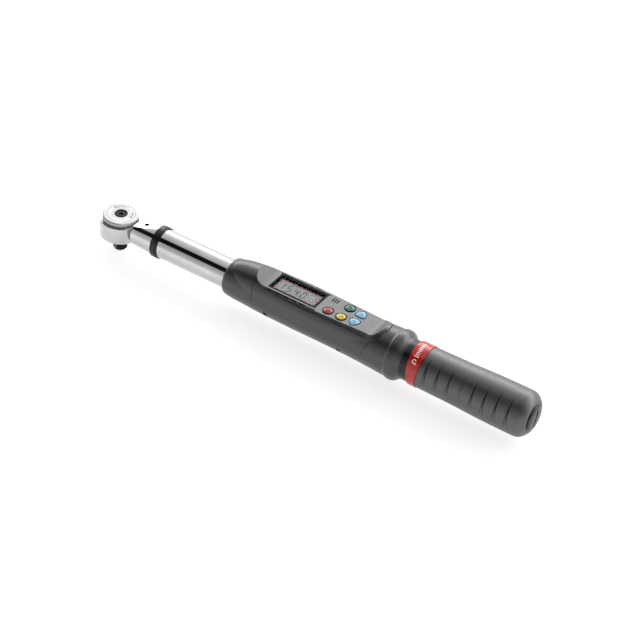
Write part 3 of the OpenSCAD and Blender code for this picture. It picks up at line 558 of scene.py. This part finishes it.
def key_gloss(name, dark, light, gap_shade, dome_foot):
    """Glossy polycarbonate, whose skirt below dome_foot (millimetres up) is painted a deep dark shade of its
    colour, as painted shade in the gap round the key.
    """
    material, tree, shader = finish_of(name, light, 0, 0.2, Specular_IOR_Level=0.4)
    tint(tree, shader, uneven(tree, 4, 0, 1), dark, light)
    cap = shader.inputs["Base Color"].links[0].from_socket
    place = add(tree, "ShaderNodeTexCoord").outputs["Object"]
    height = add(tree, "ShaderNodeSeparateXYZ", {0: place}).outputs["Z"]
    low, high = (dome_foot - SKIRT_FADE) * MM, (dome_foot + SKIRT_FADE) * MM
    above = add(tree, "ShaderNodeMapRange", {"Value": height, "From Min": low, "From Max": high}).outputs[0]
    # Painted shade: below the dome's foot the colour turns to a deep dark shade, standing in for the shade in
    # the gap between key and hole.
    shaded_skirt = add(tree, "ShaderNodeMix", {0: above, 6: linear(gap_shade), 7: cap}, data_type="RGBA")
    tree.links.new(shaded_skirt.outputs[2], shader.inputs["Base Color"])
    relief(tree, shader, uneven(tree, 1.6, 0, 1, 1), 0.006, 0.35)
    return material


ROUND_FOOT = 15.77
ARROW_FOOT = 15.47
# The third colour of each key is the painted shade on its skirt, in the gap round the key.
red_key = key_gloss("red_key_polycarbonate", "#9f2c2c", "#b23c3b", "#2c070a", ROUND_FOOT)
yellow_key = key_gloss("yellow_key_polycarbonate", "#c4a318", "#d4b62c", "#2a2306", ROUND_FOOT)
green_key = key_gloss("green_key_polycarbonate", "#256b4f", "#337d60", "#04180f", ROUND_FOOT)
blue_key = key_gloss("blue_key_polycarbonate", "#6ba3c2", "#82b6d2", "#0f1b2a", ARROW_FOOT)
dress(red_key, "key_power")
dress(yellow_key, "key_units")
dress(green_key, "key_memory")
dress(blue_key, "key_up", "key_down")


def on_dome(name, bm, centre, material, body):
    """Lays flat marks drawn round the origin on a key's dome."""
    bmesh.ops.subdivide_edges(bm, edges=bm.edges[:], cuts=1, use_grid_fill=True)
    for vert in bm.verts:
        reach = math.hypot(vert.co.x, vert.co.y)
        vert.co.z = DOME_Z + math.sqrt(DOME_R**2 - reach**2) + INK_HEIGHT
    thicken(bm, INK_DEPTH)
    bmesh.ops.translate(bm, vec=(centre[0], centre[1], 0), verts=bm.verts)
    settle(name, bm, material, body)


def printed_ink(name, dark, light):
    """Pad-printed ink, semi-matt and slightly uneven."""
    material, tree, shader = finish_of(name, light, 0, 0.6, Specular_IOR_Level=0.15)
    tint(tree, shader, uneven(tree, 0.7, 0, 1), dark, light)
    return material


def key_centre(name):
    """The middle of a key's box, in millimetres."""
    low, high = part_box(name)
    return (low + high) / 2 / MM


MARK = 0.62
bm = bmesh.new()
arc(bm, (0, 0), 1.35, 125, 415, MARK, 20)
bar(bm, (0, 0.3), (0, 2.0), MARK, 4)
red_ink = printed_ink("deep_red_ink", "#520d0f", "#631315")
on_dome("power_mark", bm, key_centre("key_power"), red_ink, "key_power")
bm = bmesh.new()
bar(bm, (-1.9, 0.3), (0.9, 0.3), MARK, 6)
head(bm, (2.1, 0.3), (1, 0), 1.6)
ochre_ink = printed_ink("ochre_ink", "#5b4a08", "#6d590c")
on_dome("units_mark", bm, key_centre("key_units"), ochre_ink, "key_units")
bm = bmesh.new()
bar(bm, (-1.5, 0.4), (1.5, 0.4), 1.5, 6)
green_ink = printed_ink("deep_green_ink", "#06291c", "#0c3626")
on_dome("memory_mark", bm, key_centre("key_memory"), green_ink, "key_memory")
blue_ink = printed_ink("deep_blue_ink", "#12303f", "#1b3d50")
# The arrow keys' boxes are longer on their tip's side, so their marks stand off the middle
MARK_OFFSET = 0.58
for body, side in (("key_up", 1), ("key_down", -1)):
    bm = bmesh.new()
    bar(bm, (-1.15, -0.6 * side), (0, 0.75 * side), MARK, 4)
    bar(bm, (1.15, -0.6 * side), (0, 0.75 * side), MARK, 4)
    middle = key_centre(body)
    on_dome(body + "_mark", bm, (middle.x, middle.y - MARK_OFFSET * side), blue_ink, body)

# ---------- handle ----------
# A nylon core pressed on the tube, with a red ring in its oblique groove and a rubber grip
# moulded over it. The grip has soft slits on both sides for the fingers.
dress(black_nylon, "handle_core")

# Glossy red ABS
red_abs, tree, shader = finish_of("glossy_red_abs", "#b51d14", 0, 0.17, Specular_IOR_Level=0.6)
tint(tree, shader, uneven(tree, 6, 0, 1), "#ac1910", "#bd241a")
relief(tree, shader, uneven(tree, 2.5, 0, 1, 1), 0.006, 0.3)
dress(red_abs, "marker_band")

# White printed ticks on the band, in place of lettering
BAND_R = 17.95
white_ink = printed_ink("white_ink", "#efe2df", "#ffffff")
TICKS = 9
TICK_PITCH = 1.75
TICK_WIDTH = 0.75
LONG_TICK = 2.1
SHORT_TICK = 1.3
TICK_LEAN = 0.05
BAND_X = 288.3
bm = bmesh.new()
for i in range(TICKS):
    reach = LONG_TICK if i % 4 == 0 else SHORT_TICK
    middle = BAND_X - TICK_LEAN * i
    bar(bm, (middle - reach, i * TICK_PITCH), (middle + reach, i * TICK_PITCH), TICK_WIDTH, 2)
# A round arrow below the ticks stands for turning
arc(bm, (BAND_X + 0.2, -4.2), 1.45, 20, 290, 0.7, 18)
head(bm, (BAND_X + 2.2, -5.2), (0.85, 0.5), 1.7)
FIRST_TICK = math.radians(56)
TICK_R = BAND_R + 0.02
TICK_DEPTH = 0.06
for vert in bm.verts:
    turned = FIRST_TICK + vert.co.y / BAND_R
    vert.co.y = -TICK_R * math.cos(turned)
    vert.co.z = TICK_R * math.sin(turned)
made = bmesh.ops.extrude_face_region(bm, geom=bm.faces[:])
inner = [v for v in made["geom"] if isinstance(v, bmesh.types.BMVert)]
shrink = 1 - TICK_DEPTH / BAND_R
bmesh.ops.scale(bm, vec=(1, shrink, shrink), verts=inner)
settle("band_ticks", bm, white_ink, "wrench")

# Thermoplastic rubber, black: a soft skin with a fine grain and a dull sheen
RUBBER_GRAIN = 0.6  # drawn twice as coarse as the real one, so that it shows
grip_rubber, tree, shader = finish_of(
    "moulded_thermoplastic_rubber", "#1d1d1e", 0, 0.42, Specular_IOR_Level=1.0, IOR=1.6
)
tree.links.new(uneven(tree, 6, 0.39, 0.45), shader.inputs["Roughness"])
tint(tree, shader, uneven(tree, 1.3, 0, 1), "#1c1c1d", "#232324")
relief(tree, shader, uneven(tree, RUBBER_GRAIN, 0, 1), 0.01, 0.25)
dress(grip_rubber, "grip_sleeve")

# ---------- batteries ----------
# Two cells in a natural polypropylene sleeve inside the tube, with a spring at the far end.
# Natural polypropylene: milky and waxy
polypropylene, tree, shader = finish_of("natural_polypropylene", "#ddd9cc", 0, 0.45, Subsurface_Weight=0.15)
tint(tree, shader, uneven(tree, 4, 0, 1), "#d5d1c3", "#e4e1d6")
tree.links.new(uneven(tree, 2, 0.38, 0.52), shader.inputs["Roughness"])
dress(polypropylene, "battery_sleeve")

# Shrunk film round the cells, plain blue and glossy
cell_film, tree, shader = finish_of("shrunk_cell_film", "#2a5a93", 0, 0.2)
tint(tree, shader, uneven(tree, 8, 0, 1), "#244f84", "#31669f")
relief(tree, shader, uneven(tree, 3, 0, 1), 0.01, 0.3)
dress(cell_film, "batteries")

# ---------- end cap ----------
# A black nylon cap with a coin slot and an O-ring, held by a quarter turn, with a plated contact.
dress(black_nylon, "end_cap")

# O-ring rubber: dull black with a thin film of grease
seal_rubber, tree, shader = finish_of("o_ring_rubber", "#161617", 0, 0.35)
tint(tree, shader, uneven(tree, 1, 0, 1), "#121213", "#1d1d1e")
tree.links.new(uneven(tree, 2, 0.25, 0.5), shader.inputs["Roughness"])
dress(seal_rubber, "cap_seal")

# Gold-plated contact
gold_plate, tree, shader = finish_of("gold_plated_contact", "#d6ab5a", 1, 0.22)
tree.links.new(uneven(tree, 1.5, 0.16, 0.3), shader.inputs["Roughness"])
tint(tree, shader, uneven(tree, 2, 0, 1), "#c99a48", "#e0b868")
dress(gold_plate, "cap_contact")
